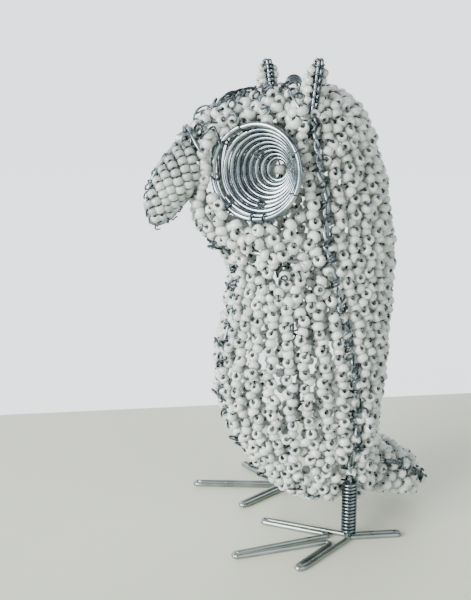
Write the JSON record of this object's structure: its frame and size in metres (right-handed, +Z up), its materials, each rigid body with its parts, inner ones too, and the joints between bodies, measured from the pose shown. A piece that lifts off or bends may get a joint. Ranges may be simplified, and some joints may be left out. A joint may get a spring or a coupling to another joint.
{
  "type": "beaded wire owl figurine",
  "caption": "Standing owl figurine of white glass beads woven on a galvanised wire frame, with spiral wire eyes and bent wire feet.",
  "frame": {"origin": "on the ground, under the middle of the whole owl's box", "axes": "+Z up, the owl faces -Y, its left side is +X"},
  "size_m": [0.0918, 0.1124, 0.1747],
  "materials": {
    "beads": "opaque white pressed glass, satin",
    "frame_wire": "galvanised steel wire, dull grey",
    "eye_wire": "bright drawn steel wire"
  },
  "bodies": {
    "root": {"face_net_left": "beads", "breast_net_left": "beads", "back_net_left": "beads", "side_wire_left": "frame_wire", "eye_left": "eye_wire", "ear_left": "beads", "leg_left": "frame_wire", "foot_left": "frame_wire", "face_net_right": "beads", "breast_net_right": "beads", "back_net_right": "beads", "side_wire_right": "frame_wire", "eye_right": "eye_wire", "ear_right": "beads", "leg_right": "frame_wire", "foot_right": "frame_wire", "beak": "beads", "tail": "beads", "middle_wire": "frame_wire", "back_wire": "frame_wire", "neck_wire": "frame_wire", "crown_coil": "frame_wire"}
  },
  "joints": []
}
